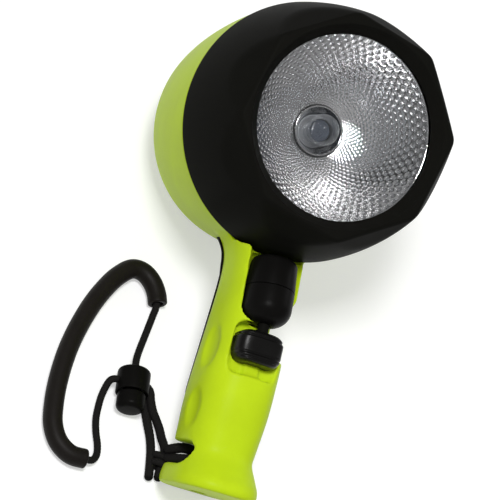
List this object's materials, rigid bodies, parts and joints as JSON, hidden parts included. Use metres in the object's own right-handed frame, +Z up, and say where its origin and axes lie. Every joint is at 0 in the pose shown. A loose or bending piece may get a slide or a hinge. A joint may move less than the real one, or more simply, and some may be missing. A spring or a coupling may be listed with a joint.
{
  "type": "pistol-grip flashlight",
  "caption": "Pistol-grip hand spotlight with a screw-on faceted bezel, dimpled reflector, sealed magnetic slide switch and a wrist lanyard with a cord lock, lying on its back.",
  "frame": {"origin": "middle of the light's own box, on the surface it lies on; the lanyard is left out of that box", "axes": "+Z up from the surface, +Y from the foot of the handle to the head, +X across the light; the beam leans 23.6 degrees from +Z towards -Y"},
  "size_m": [0.1308, 0.2312, 0.1531],
  "materials": {
    "lime_plastic": "fine satin, moulded",
    "black_plastic": "satin",
    "black_rubber": "soft matt",
    "clear_lens": "clear, polished",
    "bright_reflector": "bright metal coat, dimpled",
    "plain_aluminium": "machined",
    "brass_contact": "plated",
    "board_green": "solder mask",
    "cell_wrap": "plain wrap",
    "bright_steel": "bright",
    "black_cord": "braided"
  },
  "bodies": {
    "light_body": {"housing": "lime_plastic", "spine_strip": "black_rubber", "body_seal": "black_rubber", "contact_board": "board_green", "battery_carrier": "black_plastic", "battery_cell_1": "cell_wrap", "battery_cell_2": "cell_wrap", "battery_cell_3": "cell_wrap", "battery_cell_4": "cell_wrap", "battery_cell_5": "cell_wrap", "battery_cell_6": "cell_wrap", "battery_cell_7": "cell_wrap", "battery_cell_8": "cell_wrap", "bridge_contact_1": "brass_contact", "bridge_contact_2": "brass_contact", "bridge_contact_3": "brass_contact", "bridge_contact_4": "brass_contact", "reed_switch": "black_plastic", "switch_sleeve": "black_rubber", "switch_boot": "black_rubber", "lanyard_pin": "bright_steel", "cord_hitch": "black_cord", "cord_knot": "black_cord", "cord_leg_right": "black_cord", "cord_leg_left": "black_cord", "cord_upper": "black_cord", "cord_lower": "black_cord", "grip_tube": "black_rubber", "lock_body": "black_plastic", "lock_spring": "bright_steel"},
    "lens_pack": {"lens": "clear_lens", "lens_seal": "black_rubber", "reflector": "bright_reflector", "led_collar": "clear_lens", "led_dome": "clear_lens", "led_board": "plain_aluminium", "heat_sink": "plain_aluminium", "contact_post": "brass_contact"},
    "bezel_ring": {"bezel": "black_plastic", "retaining_ring": "black_plastic"},
    "switch_carriage": {"switch_slide": "black_plastic", "switch_rod": "black_plastic", "switch_magnet": "bright_steel"},
    "cord_lock_button": {"lock_button": "black_plastic"}
  },
  "joints": [
    {"name": "lens_pack_lift", "type": "slide", "parent": "light_body", "child": "lens_pack", "axis": [0, -0.4004, 0.9163], "range_m": [0, 0.007]},
    {"name": "bezel_turn", "type": "hinge", "parent": "lens_pack", "child": "bezel_ring", "pos_m": [0, 0.04598, 0.08602], "axis": [0, -0.4004, 0.9163], "range_deg": [0, 630]},
    {"name": "switch_throw", "type": "slide", "parent": "light_body", "child": "switch_carriage", "axis": [0, 0.9887, 0.1496], "range_m": [-0.003, 0.0026]},
    {"name": "cord_lock_press", "type": "slide", "parent": "light_body", "child": "cord_lock_button", "axis": [0, 1, 0], "range_m": [0, 0.002], "stiffness_N_per_m": 400, "springref_m": -0.002, "deforming": ["lock_spring"]}
  ],
  "couplings": [
    {"joint": "lens_pack_lift", "follows": "bezel_turn", "m_per_rad": 0.0006366}
  ]
}
